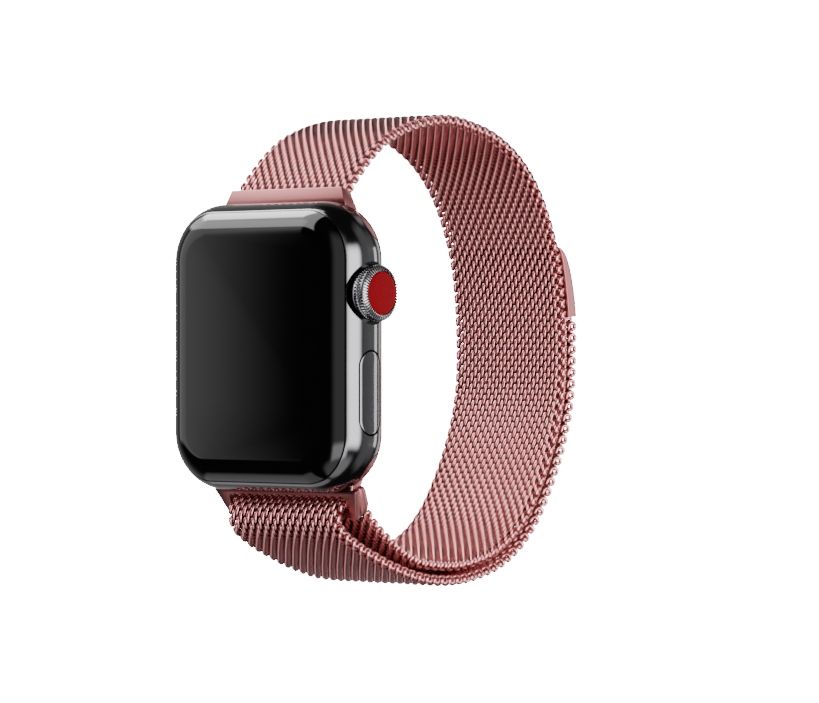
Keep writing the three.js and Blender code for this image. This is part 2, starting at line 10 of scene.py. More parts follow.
import bmesh
import bpy
import numpy as np
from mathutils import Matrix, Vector


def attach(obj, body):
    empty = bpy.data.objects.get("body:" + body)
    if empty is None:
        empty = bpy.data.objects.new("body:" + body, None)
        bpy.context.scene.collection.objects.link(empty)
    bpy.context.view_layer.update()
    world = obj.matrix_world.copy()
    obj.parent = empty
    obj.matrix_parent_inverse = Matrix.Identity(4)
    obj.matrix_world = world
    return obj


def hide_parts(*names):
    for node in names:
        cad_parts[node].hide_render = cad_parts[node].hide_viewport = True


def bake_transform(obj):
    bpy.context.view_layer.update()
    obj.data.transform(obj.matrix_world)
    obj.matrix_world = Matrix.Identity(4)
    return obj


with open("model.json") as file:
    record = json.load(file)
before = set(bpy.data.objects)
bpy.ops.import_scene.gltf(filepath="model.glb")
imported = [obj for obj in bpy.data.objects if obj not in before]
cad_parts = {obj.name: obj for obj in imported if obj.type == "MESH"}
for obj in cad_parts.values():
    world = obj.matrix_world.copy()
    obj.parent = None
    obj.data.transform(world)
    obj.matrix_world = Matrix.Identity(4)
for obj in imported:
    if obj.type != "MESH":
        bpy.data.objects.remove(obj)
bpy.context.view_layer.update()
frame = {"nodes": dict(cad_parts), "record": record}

MM = 0.001
WRIST_Y = 28.0  # from the middle of the case to the origin
FAR = 40.0  # past everything, for the open ends of cutters
AXIS = 0.001  # the radius at which a turned profile closes on its axis

# ---------------------------------------------------------------- driving dimensions, mm

CASE_HALF_X, CASE_HALF_Z, CASE_CORNER = 16.65, 19.65, 8.0
CASE_FRONT, CASE_BACK = -5.7, 4.9
ROUND_DEPTH, ROUND_INSET = 4.8, 4.6
SEAM = -4.15
GLASS_FOOT = -4.28

CROWN_Z, CROWN_RADIUS = 7.2, 3.83
CROWN_INNER, CROWN_OUTER = 15.65, 18.3
CROWN_TEETH, TOOTH_DEPTH = 54, 0.26
RECESS_FLOOR, RECESS_RADIUS = 15.2, 4.25

BUTTON_Y, BUTTON_Z = -0.35, -6.15
BUTTON_LENGTH, BUTTON_WIDTH = 11.2, 4.2
BUTTON_FOOT, POCKET_FLOOR = 15.3, 14.9

GROOVE_Y, GROOVE_Z, GROOVE_RADIUS, INSERT_RADIUS = 2.6, 16.6, 2.5, 2.3
RELEASE_Z = 12.3
WALL = 13.0  # inside the side walls, where holes through them start

CRYSTAL_RADIUS, CRYSTAL_FLAT, CRYSTAL_RISE = 9.4, 2.5, 0.8
LENS_CIRCLE = 5.4

STRAP_HALF = 10.0
LAYER_PITCH = 2.1
WIRE = 0.53
ROW_PITCH = 0.84
COIL_PITCH = 1.36
COIL_TURNS = 14
COIL_REACH = 0.76  # half a coil's height along the strap, to the middle of the wire
EDGE_REACH = 0.44  # the same in the loop that closes a coil at the strap's edge
LOOP_SWELL = 0.18  # how much thicker the wire is in an edge's loop, as a share
COIL_DEPTH = 0.60  # half a coil's depth through the strap, to the middle of the wire
EDGE_DEPTH = 0.38  # the same in the edge's loops
STEEPNESS = 0.36  # how much of a coil's pitch its bends take up, which steepens the strokes between them

# The strap's middle line in (y, z): over the wrist, down to the lower lug, round its bar and back.
STRAP_LINE = [
    (3.1, 21.3), (5.6, 23.95), (9.1, 27.0), (13, 29.3), (18.8, 31.1), (25.3, 31.8), (31.6, 30.9),
    (36.4, 29.5), (41.6, 26.5), (46.1, 21.7), (49.5, 15), (51.1, 8.5), (51.75, 0), (51.2, -7.7),
    (48.7, -15), (44.6, -22), (41, -25.9), (37.2, -28.3), (33.2, -29.7), (27, -30.6), (20, -30.1),
    (16, -28.9), (11.7, -26.5), (8.85, -24.4), (7.1, -22.7), (5.6, -21.25),
]
FOLD_LINE = [
    (4.1, -20.6), (2.9, -20.9), (1.75, -21.65), (1.1, -22.8), (1.3, -24.2), (2.3, -25.4),
    (3.9, -26.4), (6.4, -27.7), (9.4, -28.95),
]
TAIL_JOIN = (13, -30.35)
OUTER_FROM, OUTER_TO = 20, 12
TAIL_END = (53.8, 4.1)
TAIL_SPLIT = 0.54


# ---------------------------------------------------------------- meshes

def make_object(name, points_mm, faces, material, smooth=True):
    """A mesh object from points in mm from the middle of the case."""
    points = np.asarray(points_mm, float) * MM
    points[:, 1] -= WRIST_Y * MM
    mesh = bpy.data.meshes.new(name)
    mesh.from_pydata(points.tolist(), [], faces)
    mesh.validate()
    mesh.polygons.foreach_set("use_smooth", [smooth] * len(mesh.polygons))
    mesh.materials.append(material)
    made = bpy.data.objects.new(name, mesh)
    bpy.context.collection.objects.link(made)
    return made


def grid_faces(rows, columns, wrap_columns=False):
    """Quads of a grid of points listed row by row."""
    faces = []
    for r in range(rows - 1):
        r_next = r + 1
        for c in range(columns if wrap_columns else columns - 1):
            c_next = (c + 1) % columns
            here, beyond = r * columns, r_next * columns
            faces.append((here + c, here + c_next, beyond + c_next, beyond + c))
    return faces


def smooth_by_angle(obj, degrees=30):
    """Shades an object smooth except across its sharp edges."""
    with bpy.context.temp_override(object=obj, active_object=obj, selected_editable_objects=[obj]):
        bpy.ops.object.shade_smooth_by_angle(angle=math.radians(degrees))


def apply_modifiers(obj):
    """Keeps an object's mesh as its modifiers leave it."""
    evaluated = obj.evaluated_get(bpy.context.evaluated_depsgraph_get())
    mesh = bpy.data.meshes.new_from_object(evaluated)
    old = obj.data
    obj.modifiers.clear()
    obj.data = mesh
    bpy.data.meshes.remove(old)


def edit_mesh(obj, change):
    """Lets a function change an object's mesh as a bmesh."""
    work = bmesh.new()
    work.from_mesh(obj.data)
    change(work)
    work.to_mesh(obj.data)
    work.free()


def face_outward(obj):
    edit_mesh(obj, lambda work: bmesh.ops.recalc_face_normals(work, faces=work.faces))


def weld(obj, distance=0.000004):
    edit_mesh(obj, lambda work: bmesh.ops.remove_doubles(work, verts=work.verts, dist=distance))


# ---------------------------------------------------------------- the case's outer form

def inset_at(y):
    """How far the outer form pulls in at a depth."""
    beyond_front = (CASE_FRONT + ROUND_DEPTH) - y
    beyond_back = y - (CASE_BACK - ROUND_DEPTH)
    beyond = np.clip(np.maximum(beyond_front, beyond_back), 0, ROUND_DEPTH)
    return ROUND_INSET * (1 - np.sqrt(1 - (beyond / ROUND_DEPTH) ** 2))


def outline(half_a, half_b, corner, inset=0.0, arc=20, straight=10):
    """Points of a rounded rectangle, moved inwards by an inset."""
    a, b, radius = half_a - corner, half_b - corner, corner - inset
    centres = [(a, b), (-a, b), (-a, -b), (a, -b)]
    points = []
    for quarter, (ca, cb) in enumerate(centres):
        for i in range(arc + 1):
            angle = (quarter + i / arc) * math.pi / 2
            points.append((ca + radius * math.cos(angle), cb + radius * math.sin(angle)))
        start = points[-1]
        turn = (quarter + 1) * math.pi / 2
        na, nb = centres[(quarter + 1) % 4]
        end = (na + radius * math.cos(turn), nb + radius * math.sin(turn))
        for i in range(1, straight):
            share = i / straight
            points.append((start[0] + (end[0] - start[0]) * share, start[1] + (end[1] - start[1]) * share))
    return np.array(points)


def form_rings(depths, insets):
    """Closed rings of the case's outline at several depths, as one array of points."""
    rings = []
    for y, inset in zip(depths, insets):
        ring = outline(CASE_HALF_X, CASE_HALF_Z, CASE_CORNER, inset)
        rings.append(np.column_stack([ring[:, 0], np.full(len(ring), y), ring[:, 1]]))
    return rings


def rings_solid(rings):
    """Points and faces of a closed solid through rings, with a flat face at each end."""
    columns = len(rings[0])
    points = np.vstack(rings)
    faces = grid_faces(len(rings), columns, wrap_columns=True)
    faces.append(tuple(reversed(range(columns))))
    last = (len(rings) - 1) * columns
    faces.append(tuple(range(last, last + columns)))
    return points, faces


def past_corner_centres(points):
    """How far points lie past the middles of the outline's corners, in X and in Z."""
    qx = np.abs(points[:, 0]) - (CASE_HALF_X - CASE_CORNER)
    qz = np.abs(points[:, 2]) - (CASE_HALF_Z - CASE_CORNER)
    return qx, qz


def form_normals(points):
    """The outer form's own normals at points in mm from the middle of the case."""
    x, y, z = points.T
    qx, qz = past_corner_centres(points)
    outer_x, outer_z = np.maximum(qx, 0), np.maximum(qz, 0)
    length = np.hypot(outer_x, outer_z)
    in_corner = (qx > 0) & (qz > 0)
    side = qx > qz
    nx = np.where(in_corner, outer_x / np.maximum(length, 1e-9), side) * np.sign(x)
    nz = np.where(in_corner, outer_z / np.maximum(length, 1e-9), ~side) * np.sign(z)
    front = (CASE_FRONT + ROUND_DEPTH) - y
    back = y - (CASE_BACK - ROUND_DEPTH)
    beyond = np.clip(np.maximum(front, back), 0, ROUND_DEPTH * 0.99999)
    slope = ROUND_INSET * beyond / ROUND_DEPTH ** 2 / np.sqrt(1 - (beyond / ROUND_DEPTH) ** 2)
    ny = np.where(front > back, -slope, slope)
    normals = np.column_stack([nx, ny, nz])
    return normals / np.linalg.norm(normals, axis=1)[:, None]


def off_form(points):
    """How far points in mm from the middle of the case lie outside the outer form, level with them."""
    qx, qz = past_corner_centres(points)
    outside = np.hypot(np.maximum(qx, 0), np.maximum(qz, 0))
    inside = np.minimum(np.maximum(qx, qz), 0)
    return outside + inside - CASE_CORNER + inset_at(points[:, 1])


def keep_form_normals(obj):
    """Gives faces on the outer form its exact normals, so that cuts leave no marks in the gloss."""
    nearly_parallel, on_surface = 0.9, 0.03
    smooth_by_angle(obj, 35)
    mesh = obj.data
    normals = np.array([n.vector for n in mesh.corner_normals])
    corners = np.array([loop.vertex_index for loop in mesh.loops])
    points = np.array([v.co for v in mesh.vertices]) / MM
    points[:, 1] += WRIST_Y
    exact = form_normals(points)[corners]
    on_form = np.zeros(len(corners), bool)
    for face in mesh.polygons:
        start = face.loop_start
        middle = exact[start:start + face.loop_total].mean(axis=0)
        if np.dot(middle, face.normal) > nearly_parallel * np.linalg.norm(middle):
            on_form[start:start + face.loop_total] = True
    on_form &= (np.abs(off_form(points)) < on_surface)[corners]
    normals[on_form] = exact[on_form]
    mesh.normals_split_custom_set(normals.tolist())


# ---------------------------------------------------------------- cutters

def prism(ring, axis, low, high):
    """Points and faces of a prism: a closed ring of (a, b) pairs run along X or Y."""
    points = []
    for along in (low, high):
        for a, b in ring:
            points.append((along, a, b) if axis == "x" else (a, along, b))
    count = len(ring)
    faces = grid_faces(2, count, wrap_columns=True)
    faces += [tuple(reversed(range(count))), tuple(range(count, 2 * count))]
    return np.array(points, float), faces


def circle(centre_a, centre_b, radius, count=64):
    """A ring of points for a round hole or bar."""
    angles = np.arange(count) * 2 * math.pi / count
    return np.column_stack([centre_a + radius * np.cos(angles), centre_b + radius * np.sin(angles)])


def stadium(centre_a, centre_b, width, length, count=24, along_second=True):
    """A slot with round ends."""
    radius, reach = width / 2, (length - width) / 2
    points = []
    for end in (1, -1):
        for i in range(count + 1):
            angle = math.pi * i / count + (0 if end == 1 else math.pi)
            points.append((radius * math.cos(angle), end * reach + radius * math.sin(angle)))
    points = np.array(points)
    if not along_second:
        points = np.column_stack([-points[:, 1], points[:, 0]])
    return points + (centre_a, centre_b)


def boolean(obj, operation, shapes):
    """Cuts an object by, or keeps what it shares with, solids given as points and faces."""
    for points, faces in shapes:
        tool = make_object("cutter", points, faces, obj.data.materials[0], smooth=False)
        face_outward(tool)
        step = obj.modifiers.new("cut", "BOOLEAN")
        step.operation = operation
        step.solver = "EXACT"
        step.object = tool
        bpy.context.view_layer.update()
        apply_modifiers(obj)
        bpy.data.objects.remove(tool, do_unlink=True)


# ---------------------------------------------------------------- materials

def new_material(name, slot_name):
    """A node material and its main shader."""
    material = bpy.data.materials.new(name)
    material.use_nodes = True
    material["slot"] = slot_name
    shader = material.node_tree.nodes["Principled BSDF"]
    return material, shader


def link_noise(material, scale):
    """A noise texture that reads the object's own coordinates."""
    nodes, links = material.node_tree.nodes, material.node_tree.links
    place = nodes.new("ShaderNodeTexCoord")
    noise = nodes.new("ShaderNodeTexNoise")
    noise.inputs["Scale"].default_value = scale
    noise.inputs["Detail"].default_value = 3.0
    links.new(place.outputs["Object"], noise.inputs["Vector"])
    return noise


def ranged(material, source, low, high):
    """A value moved into a range."""
    node = material.node_tree.nodes.new("ShaderNodeMapRange")
    node.inputs["To Min"].default_value = low
    node.inputs["To Max"].default_value = high
    material.node_tree.links.new(source, node.inputs["Value"])
    return node.outputs["Result"]


def blended(material, source, first, second):
    """A colour that runs from one to another with a value."""
    node = material.node_tree.nodes.new("ShaderNodeMix")
    node.data_type = "RGBA"
    node.inputs[6].default_value = (*first, 1)
    node.inputs[7].default_value = (*second, 1)
    material.node_tree.links.new(source, node.inputs[0])
    return node.outputs[2]


def bumped(material, shader, source, strength):
    """Turns a value into a grain of shallow bumps."""
    grain_depth = 0.00002
    node = material.node_tree.nodes.new("ShaderNodeBump")
    node.inputs["Strength"].default_value = strength
    node.inputs["Distance"].default_value = grain_depth
    material.node_tree.links.new(source, node.inputs["Height"])
    material.node_tree.links.new(node.outputs["Normal"], shader.inputs["Normal"])


def surface(name, slot_name, first, second, rough, metallic=0.0, scale=900.0, bump=0.0):
    """A finish whose colour and roughness vary a little, with an optional fine grain."""
    material, shader = new_material(name, slot_name)
    links = material.node_tree.links
    noise = link_noise(material, scale)
    links.new(blended(material, noise.outputs["Fac"], first, second), shader.inputs["Base Color"])
    links.new(ranged(material, noise.outputs["Fac"], *rough), shader.inputs["Roughness"])
    shader.inputs["Metallic"].default_value = metallic
    if bump:
        grain = link_noise(material, scale * 8)
        bumped(material, shader, grain.outputs["Fac"], bump)
    return material


BLACK_STEEL = surface(
    "black_steel", "black_steel", (0.115, 0.115, 0.12), (0.135, 0.135, 0.14),
    rough=(0.10, 0.15), metallic=1.0, scale=300,
)
BLACK_GLASS = surface(
    "black_glass", "cover_glass", (0.0002, 0.0002, 0.0002), (0.0004, 0.0004, 0.0004),
    rough=(0.02, 0.03), metallic=0.0, scale=200,
)
ROSE_SOLID = surface(
    "rose_solid", "rose_metal", (0.28, 0.10, 0.102), (0.32, 0.116, 0.118),
    rough=(0.30, 0.38), metallic=1.0, scale=1500, bump=0.15,
)


def wire_finish():
    """Polished rose wire, with painted shade where it dips into the weave in place of the shadow between the
    wires.
    """
    material = surface(
        "rose_wire", "rose_mesh", (0.68, 0.26, 0.265), (0.76, 0.31, 0.315),
        rough=(0.15, 0.22), metallic=1.0, scale=1800,
    )
    nodes, links = material.node_tree.nodes, material.node_tree.links
    shader = nodes["Principled BSDF"]
    # Painted shade: deep in the weave the colour blends to a dark maroon, standing in for the shadow between
    # the wires.
    sunk, proud, painted_shade_colour = 0.38, 0.9, (0.17, 0.048, 0.049)
    standing = nodes.new("ShaderNodeAttribute")
    standing.attribute_name = "standing"
    share = nodes.new("ShaderNodeMapRange")
    share.interpolation_type = "SMOOTHSTEP"
    share.inputs["From Min"].default_value = sunk
    share.inputs["From Max"].default_value = proud
    links.new(standing.outputs["Fac"], share.inputs["Value"])
    polished = shader.inputs["Base Color"].links[0].from_socket
    painted_shade_mix = nodes.new("ShaderNodeMix")
    painted_shade_mix.data_type = "RGBA"
    painted_shade_mix.inputs[6].default_value = (*painted_shade_colour, 1)
    links.new(share.outputs["Result"], painted_shade_mix.inputs[0])
    links.new(polished, painted_shade_mix.inputs[7])
    links.new(painted_shade_mix.outputs[2], shader.inputs["Base Color"])
    return material


ROSE_WIRE = wire_finish()
RED = surface(
    "red_enamel", "red_enamel", (0.125, 0.0, 0.002), (0.14, 0.0, 0.003),
    rough=(0.45, 0.55), metallic=0.0, scale=1200, bump=0.2,
)
RED.node_tree.nodes["Principled BSDF"].inputs["Specular IOR Level"].default_value = 0.04
RUBBER = surface(
    "rubber", "seal_rubber", (0.012, 0.012, 0.012), (0.02, 0.02, 0.02),
    rough=(0.6, 0.8), metallic=0.0, scale=2500, bump=0.4,
)
CERAMIC = surface(
    "ceramic", "back_ceramic", (0.012, 0.012, 0.014), (0.016, 0.016, 0.018),
    rough=(0.10, 0.16), metallic=0.0, scale=500,
)
CRYSTAL = surface(
    "crystal", "back_crystal", (0.006, 0.006, 0.008), (0.010, 0.009, 0.012),
    rough=(0.03, 0.05), metallic=0.0, scale=300,
)
LENS = surface(
    "lens", "lens_crystal", (0.05, 0.012, 0.012), (0.03, 0.01, 0.02),
    rough=(0.04, 0.07), metallic=0.0, scale=700,
)
STEEL = surface(
    "steel", "steel", (0.5, 0.5, 0.51), (0.6, 0.6, 0.61),
    rough=(0.25, 0.38), metallic=1.0, scale=1500, bump=0.2,
)
COPPER = surface(
    "copper", "copper", (0.65, 0.28, 0.12), (0.75, 0.35, 0.16),
    rough=(0.3, 0.4), metallic=1.0, scale=2500, bump=0.4,
)
FOIL = surface(
    "foil", "cell_foil", (0.16, 0.17, 0.18), (0.22, 0.23, 0.24),
    rough=(0.35, 0.5), metallic=0.6, scale=800, bump=0.3,
)
RESIN = surface(
    "resin", "module_resin", (0.015, 0.015, 0.017), (0.03, 0.03, 0.032),
    rough=(0.5, 0.65), metallic=0.0, scale=1800, bump=0.4,
)
DISPLAY = surface(
    "display", "display", (0.004, 0.004, 0.005), (0.006, 0.006, 0.007),
    rough=(0.1, 0.15), metallic=0.0, scale=500,
)
# The crown's black steel painted lighter than the case's, in place of the light on its teeth and ring.
CROWN_STEEL_PAINTED_LIGHT = surface(
    "crown_steel_painted_light", "black_steel", (0.30, 0.30, 0.31), (0.34, 0.34, 0.35),
    rough=(0.12, 0.18), metallic=1.0, scale=300,
)
BY_SLOT = {
    finish["slot"]: finish
    for finish in (BLACK_STEEL, BLACK_GLASS, ROSE_SOLID, ROSE_WIRE, RED, RUBBER, CERAMIC, CRYSTAL, LENS,
                   STEEL, COPPER, FOIL, RESIN, DISPLAY)
}


def finish_cad_nodes():
    """Every CAD node gets the material of its slot in the record."""
    for entry in frame["record"]["subparts"]:
        mesh = frame["nodes"][entry["node"]].data
        mesh.materials.clear()
        mesh.materials.append(BY_SLOT[entry["material_slot"]])


def placed(obj, body, slot_name, *nodes):
    """Lets a piece ride on a body, in place of CAD nodes if any are named. Its slot name is not used."""
    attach(obj, body)
    if nodes:
        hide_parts(*nodes)


# ---------------------------------------------------------------- case and glass

def arc_depths(low, high, count):
    """Depths spread so that the rounded side is sampled evenly round its bend."""
    middle, half = (CASE_FRONT + CASE_BACK) / 2, (CASE_BACK - CASE_FRONT) / 2
    start, end = (math.asin(np.clip((y - middle) / half, -1, 1)) for y in (low, high))
    return [middle + half * math.sin(start + (end - start) * i / count) for i in range(count + 1)]


def case_shell():
    """The steel shell with its cavities, the crown's recess, the button's pocket and the lugs' grooves."""
    depths = arc_depths(SEAM + 0.1, CASE_BACK, 40)
    insets = list(inset_at(np.array(depths)))
    lip = inset_at(SEAM)
    depths = [SEAM, SEAM + 0.03] + depths
    insets = [lip + 0.12, lip + 0.02] + insets
    points, faces = rings_solid(form_rings(depths, insets))
    shell = make_object("case_shell_polished", points, faces, BLACK_STEEL)
    face_outward(shell)
    gap = 0.36
    button = (BUTTON_WIDTH + gap, BUTTON_LENGTH + gap)
    cutters = [
        prism(outline(14.4, 16.9, 6.2), "y", -FAR, -0.3),  # cavity behind the display
        prism(outline(14.0, 13.6, 5.0), "y", -1.3, 3.9),  # and on towards the back
        prism(outline(12.25, 10.75, 4.25), "y", 2.9, FAR),  # opening for the back cover
        prism(circle(0, CROWN_Z, RECESS_RADIUS, 96), "x", RECESS_FLOOR, FAR),
        prism(circle(0, CROWN_Z, 1.9, 32), "x", WALL, FAR),
        prism(stadium(BUTTON_Y, BUTTON_Z, *button), "x", POCKET_FLOOR, FAR),
        prism(circle(BUTTON_Y, BUTTON_Z, 0.95, 24), "x", WALL, FAR),
        prism(circle(0, 9, 0.45, 24), "x", -FAR, -WALL),  # microphone hole
    ]
    for z in (-3.5, 3.5):
        cutters.append(prism(stadium(0, z, 1.1, 4.6), "x", -FAR, -WALL))  # speaker slot
    for side in (1, -1):
        mouth = np.array([(0.95, 18.4), (0.5, 21), (9, 21), (9, 15.4), (5, 15.4), (2.6, 16.6)]) * (1, side)
        cutters.append(prism(circle(GROOVE_Y, side * GROOVE_Z, GROOVE_RADIUS, 72), "x", -FAR, FAR))
        cutters.append(prism(mouth, "x", -FAR, FAR))
        cutters.append(prism(stadium(0, side * RELEASE_Z, 2.0, 6.5, along_second=False), "y", 2.9, FAR))
    boolean(shell, "DIFFERENCE", cutters)
    keep_form_normals(shell)
    placed(shell, "case", "black_steel", "case_shell")


def cover_glass():
    """The glass that carries the case's rounded form on over the front, hollow behind."""
    depths = arc_depths(CASE_FRONT, GLASS_FOOT - 0.06, 30)
    insets = list(inset_at(np.array(depths)))
    lip = inset_at(GLASS_FOOT)
    depths += [GLASS_FOOT - 0.02, GLASS_FOOT]
    insets += [lip + 0.02, lip + 0.12]
    points, faces = rings_solid(form_rings(depths, insets))
    glass = make_object("cover_glass_polished", points, faces, BLACK_GLASS)
    face_outward(glass)
    boolean(glass, "DIFFERENCE", [prism(outline(13.6, 16.2, 5.5), "y", -4.65, FAR)])
    keep_form_normals(glass)
    placed(glass, "case", "cover_glass", "cover_glass")


# ---------------------------------------------------------------- crown

def lathe_x(profile, count, teeth=0, depth=0.0):
    """Points of a profile turned about the crown's axis.

    A profile's entries are (x, radius). Where teeth are cut into it, they are (x, radius, share, lean): the
    share of a tooth's depth, and how far the surface there faces along the axis, from 0 to 1.
    """
    angles = np.arange(count) * 2 * math.pi / count
    valley = np.clip(0.5 - 0.9 * np.cos(angles * teeth), 0, 1) * depth
    rows = []
    for x, radius, share, lean in [(*entry, 0, 0)[:4] for entry in profile]:
        cut = valley * share
        r = radius - cut * math.sqrt(1 - lean ** 2)
        rows.append(np.column_stack([x - cut * lean, r * np.cos(angles), CROWN_Z + r * np.sin(angles)]))
    return np.vstack(rows), grid_faces(len(profile), count, wrap_columns=True)


def crown_knob():
    """A polished ring near the case, a groove, and a drum whose teeth run on over its bevel."""
    r, inner, outer = CROWN_RADIUS, CROWN_INNER, CROWN_OUTER
    profile = [
        (inner, 1.0), (inner, r - 0.62), (inner + 0.08, r - 0.5), (inner + 0.5, r - 0.42),
        (inner + 0.6, r - 0.22), (inner + 0.95, r - 0.2), (inner + 1.12, r - 0.2, 0.5, 0.2),
        (inner + 1.18, r - 0.26, 1, 0.5), (inner + 1.22, r - 0.52), (inner + 1.36, r - 0.52),
        (inner + 1.4, r - 0.14, 1, 0), (inner + 1.5, r - 0.02, 1, 0), (inner + 1.7, r, 1, 0),
        (outer - 0.56, r - 0.01, 1, 0), (outer - 0.44, r - 0.06, 1, 0.3), (outer - 0.32, r - 0.17, 1, 0.5),
        (outer - 0.2, r - 0.33, 1, 0.7), (outer - 0.1, r - 0.52, 1, 0.85), (outer - 0.03, r - 0.7, 1, 0.95),
        (outer, r - 0.8, 0.6, 1), (outer, r - 0.84), (outer - 0.1, 2.95), (outer - 0.35, 2.95),
        (outer - 0.35, AXIS),
    ]
    points, faces = lathe_x(profile, CROWN_TEETH * 10, CROWN_TEETH, TOOTH_DEPTH)
    # The knob wears the lighter painted copy of the black steel, standing in for the light on its teeth.
    knob = make_object("crown_knob_knurled", points, faces, CROWN_STEEL_PAINTED_LIGHT)
    face_outward(knob)
    smooth_by_angle(knob, 50)
    placed(knob, "crown", "black_steel", "crown_knob")


def crown_cap():
    """The slightly domed enamel disc in the knob's end."""
    profile = [(CROWN_OUTER - 0.2, AXIS), (CROWN_OUTER - 0.2, 2.86), (CROWN_OUTER - 0.06, 2.9)]
    profile += [(CROWN_OUTER + 0.01, 2.84), (18.34, 2.7), (18.37, 2.2), (18.39, 1.2), (18.4, AXIS)]
    points, faces = lathe_x(profile, 96)
    cap = make_object("crown_cap_enamel", points, faces, RED)
    face_outward(cap)
    smooth_by_angle(cap, 40)
    placed(cap, "crown", "red_enamel", "crown_cap")


# ---------------------------------------------------------------- side button

def form_x(y, z):
    """How far out the case's +X side reaches at a depth and height."""
    inset = inset_at(y)
    over = np.maximum(np.abs(z) - (CASE_HALF_Z - CASE_CORNER), 0)
    radius = CASE_CORNER - inset
    return (CASE_HALF_X - CASE_CORNER) + np.sqrt(np.maximum(radius ** 2 - over ** 2, 0))


def side_button():
    """A slim pill whose face follows the case's side, with a soft edge."""
    rim = stadium(0, 0, BUTTON_WIDTH, BUTTON_LENGTH, 28)
    edge = [(0.0, 0.0), (0.2, 0.0), (0.4, 0.0), (0.6, 0.0), (0.8, 0.0), (0.92, 0.005), (0.955, 0.02)]
    edge += [(0.978, 0.06), (0.992, 0.12), (1.0, 0.22)]
    straight = (BUTTON_LENGTH - BUTTON_WIDTH) / 2
    spine = np.column_stack([np.zeros(len(rim)), np.clip(rim[:, 1], -straight, straight)])
    rings = []
    for share, drop in edge:
        ring = spine + (rim - spine) * share
        y, z = ring[:, 0] + BUTTON_Y, ring[:, 1] + BUTTON_Z
        rings.append(np.column_stack([form_x(y, z) - drop, y, z]))
    foot = rings[-1].copy()
    foot[:, 0] = BUTTON_FOOT
    rings.append(foot)
    points, faces = np.vstack(rings), grid_faces(len(rings), len(rim), wrap_columns=True)
    last = (len(rings) - 1) * len(rim)
    faces.append(tuple(range(last, last + len(rim))))
    half_count = len(rim) // 2
    for i in range(half_count - 1):
        faces.append((i, i + 1, len(rim) - 2 - i, len(rim) - 1 - i))
    button = make_object("side_button_polished", points, faces, BLACK_STEEL)
    weld(button)
    face_outward(button)
    smooth_by_angle(button, 40)
    placed(button, "side_button", "black_steel", "side_button")


# ---------------------------------------------------------------- lugs and clasp

def bevelled(obj, width_mm, segments=3):
    """Rounds an object's sharp edges."""
    step = obj.modifiers.new("edges", "BEVEL")
    step.width = width_mm * MM
    step.segments = segments
    step.limit_method = "ANGLE"
    step.angle_limit = math.radians(35)
    bpy.context.view_layer.update()
    apply_modifiers(obj)
    smooth_by_angle(obj, 35)


def lug_insert(side, body, name, replaced):
    """The bar in the case's groove, whose ends follow the case's outer form."""
    depths = arc_depths(CASE_FRONT, CASE_BACK, 60)
    points, faces = rings_solid(form_rings(depths, inset_at(np.array(depths))))
    bar = make_object(name, points, faces, ROSE_SOLID)
    face_outward(bar)
    round_bar = prism(circle(GROOVE_Y, side * GROOVE_Z, INSERT_RADIUS, 72), "x", -20.0, 20.0)
    boolean(bar, "INTERSECT", [round_bar])
    keep_form_normals(bar)
    placed(bar, body, "rose_metal", replaced)


def tapered_bar(profile, half_widths, name):
    """A (y, z) profile run across the strap, each point to its own half width."""
    count = len(profile)
    points = [(sign * half, y, z) for sign in (-1, 1) for (y, z), half in zip(profile, half_widths)]
    faces = grid_faces(2, count, wrap_columns=True)
    faces += [tuple(reversed(range(count))), tuple(range(count, 2 * count))]
    bar = make_object(name, points, faces, ROSE_SOLID)
    face_outward(bar)
    return bar


def upper_lug():
    """The plate that holds the strap's end, and its bar in the case's groove."""
    profile = [
        (1.5, 17.4), (1.28, 18.6), (0.98, 19.5), (1.1, 20.25), (1.4, 21.72), (3.3, 21.05), (3.15, 19.9),
        (3.25, 18.9), (3.8, 17.8), (4.1, 16.8),
    ]
    half = [11.0, 11.0, 11.0, 10.62, 10.02, 10.02, 10.62, 11.0, 11.0, 11.0]
    plate = tapered_bar(profile, half, "upper_lug_plate")
    bevelled(plate, 0.16)
    placed(plate, "strap", "rose_metal")
    lug_insert(1, "strap", "upper_lug_insert", "upper_lug")


LUG_TOP = Vector((0, 0.75, -19.4))
LUG_DOWN = Vector((0, 0.457, -0.889)).normalized()
LUG_BACK = Vector((1, 0, 0)).cross(LUG_DOWN)


def lug_knuckles():
    """The rounded ends behind the frame, one on each side, that hold the cross bar."""
    profile = [(0.0, 0.02), (0.03, 0.5), (0.2, 0.85), (0.55, 1.05), (1.2, 1.12), (3.0, 1.05), (3.6, 0.85)]
    profile += [(3.95, 0.5), (4.05, 0.02)]
    angles = np.arange(40) * math.pi / 20
    for side, name in ((1, "right"), (-1, "left")):
        points = []
        for s, radius in profile:
            for angle in angles:
                x = side * (10.85 + 0.9 * (1 - 0.3 * s / 4) + radius * 0.6 * math.cos(angle))
                back = 1.1 + radius * (0.9 + 0.85 * math.sin(angle))
                place = LUG_TOP + LUG_DOWN * (0.35 + s) + LUG_BACK * back
                points.append((x, place.y, place.z))
        faces = grid_faces(len(profile), len(angles), wrap_columns=True)
        knuckle = make_object(f"lower_lug_knuckle_{name}", points, faces, ROSE_SOLID)
        weld(knuckle, 0.00002)
        face_outward(knuckle)
        smooth_by_angle(knuckle, 50)
        placed(knuckle, "lower_lug", "rose_metal")


def bend(start, control, end, count=6):
    """Points of a quadratic curve from start to end."""
    start, control, end = (np.array(point) for point in (start, control, end))
    shares = np.linspace(0, 1, count)
    return [tuple((1 - t) ** 2 * start + 2 * t * (1 - t) * control + t * t * end) for t in shares]


